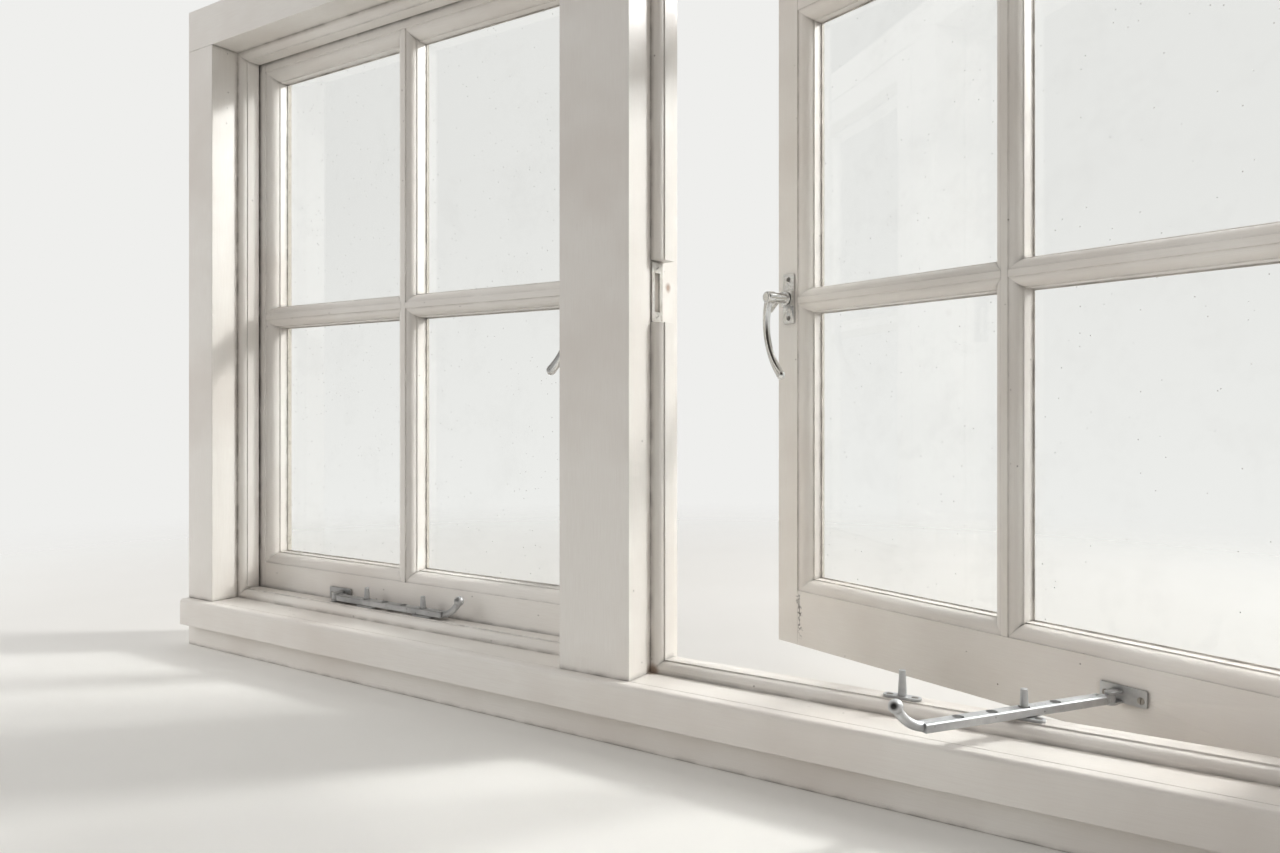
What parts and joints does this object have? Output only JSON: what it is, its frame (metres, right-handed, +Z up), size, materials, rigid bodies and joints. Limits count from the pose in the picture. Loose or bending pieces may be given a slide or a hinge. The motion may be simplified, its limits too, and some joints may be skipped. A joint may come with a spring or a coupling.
{
  "type": "casement window",
  "caption": "Painted timber casement window with side-hung opening lights, glazing bars, fastener handles and peg stays, in its frame.",
  "frame": {"origin": "middle of the sill's underside, halfway through the frame's depth and on the mullion's centre line", "axes": "+X to the right seen from the room, +Y outdoors, +Z up"},
  "size_m": [1.512, 0.427, 0.951],
  "materials": {
    "painted_timber": "satin",
    "glass": "gloss",
    "putty": "matte",
    "chrome": "polished",
    "satin_metal": "satin",
    "painted_metal": "satin"
  },
  "bodies": {
    "frame": {"head": "painted_timber", "hinge_pins": "painted_metal", "left_bottom_bead": "painted_timber", "left_jamb": "painted_timber", "left_jamb_bead": "painted_timber", "left_jamb_hinges": "painted_metal", "left_mortice_plate": "satin_metal", "left_mullion_bead": "painted_timber", "left_stay_pegs": "satin_metal", "left_top_bead": "painted_timber", "mortice_screws": "satin_metal", "mullion": "painted_timber", "peg_screws": "satin_metal", "right_bottom_bead": "painted_timber", "right_jamb": "painted_timber", "right_jamb_bead": "painted_timber", "right_jamb_hinges": "painted_metal", "right_mortice_plate": "satin_metal", "right_mullion_bead": "painted_timber", "right_stay_pegs": "satin_metal", "right_top_bead": "painted_timber", "sill": "painted_timber", "sill_front_board": "painted_timber"},
    "left_casement": {"left_meeting_stile": "painted_timber", "left_hinge_stile": "painted_timber", "left_bottom_rail": "painted_timber", "left_top_rail": "painted_timber", "left_vertical_bar": "painted_timber", "left_horizontal_bars": "painted_timber", "left_upper_panes": "glass", "left_lower_panes": "glass", "left_putty": "putty", "left_leaf_hinges": "painted_metal", "left_handle_plate": "chrome", "left_handle_screws": "chrome", "left_stay_bracket": "satin_metal", "left_bracket_screws": "satin_metal"},
    "left_handle": {"left_handle": "chrome"},
    "left_stay_knuckle": {"left_stay_knuckle": "satin_metal"},
    "left_stay_arm": {"left_stay_arm": "satin_metal", "left_stay_rivet": "satin_metal"},
    "right_casement": {"right_meeting_stile": "painted_timber", "right_hinge_stile": "painted_timber", "right_bottom_rail": "painted_timber", "right_top_rail": "painted_timber", "right_vertical_bar": "painted_timber", "right_horizontal_bars": "painted_timber", "right_upper_panes": "glass", "right_lower_panes": "glass", "right_putty": "putty", "right_leaf_hinges": "painted_metal", "right_handle_plate": "chrome", "right_handle_screws": "chrome", "right_stay_bracket": "satin_metal", "right_bracket_screws": "satin_metal"},
    "right_handle": {"right_handle": "chrome"},
    "right_stay_knuckle": {"right_stay_knuckle": "satin_metal"},
    "right_stay_arm": {"right_stay_arm": "satin_metal", "right_stay_rivet": "satin_metal"}
  },
  "joints": [
    {"name": "left_casement_hinge", "type": "hinge", "parent": "frame", "child": "left_casement", "pos_m": [-0.707, 0.063, 0.051], "axis": [0, 0, 1], "range_deg": [0, 85]},
    {"name": "right_casement_hinge", "type": "hinge", "parent": "frame", "child": "right_casement", "pos_m": [0.707, 0.063, 0.051], "axis": [0, 0, -1], "range_deg": [-21.66, 63.34]},
    {"name": "left_handle_turn", "type": "hinge", "parent": "left_casement", "child": "left_handle", "pos_m": [-0.057, 0.0135, 0.4967], "axis": [0, 1, 0], "range_deg": [-5, 90]},
    {"name": "right_handle_turn", "type": "hinge", "parent": "right_casement", "child": "right_handle", "pos_m": [0.08463, 0.25693, 0.4967], "axis": [-0.3691, -0.9294, 0], "range_deg": [0, 95]},
    {"name": "left_stay_swing", "type": "hinge", "parent": "left_casement", "child": "left_stay_knuckle", "pos_m": [-0.491, -0.0015, 0.0903], "axis": [0, 0, -1], "range_deg": [0, 104]},
    {"name": "right_stay_swing", "type": "hinge", "parent": "right_casement", "child": "right_stay_knuckle", "pos_m": [0.48245, 0.08278, 0.0903], "axis": [0, 0, 1], "range_deg": [-77.39, 26.61]},
    {"name": "left_stay_lift", "type": "hinge", "parent": "left_stay_knuckle", "child": "left_stay_arm", "pos_m": [-0.479, -0.0015, 0.0903], "axis": [0, -1, 0], "range_deg": [0, 72]},
    {"name": "right_stay_lift", "type": "hinge", "parent": "right_stay_knuckle", "child": "right_stay_arm", "pos_m": [0.47569, 0.07287, 0.0903], "axis": [-0.8263, 0.5632, 0], "range_deg": [0, 72]}
  ]
}
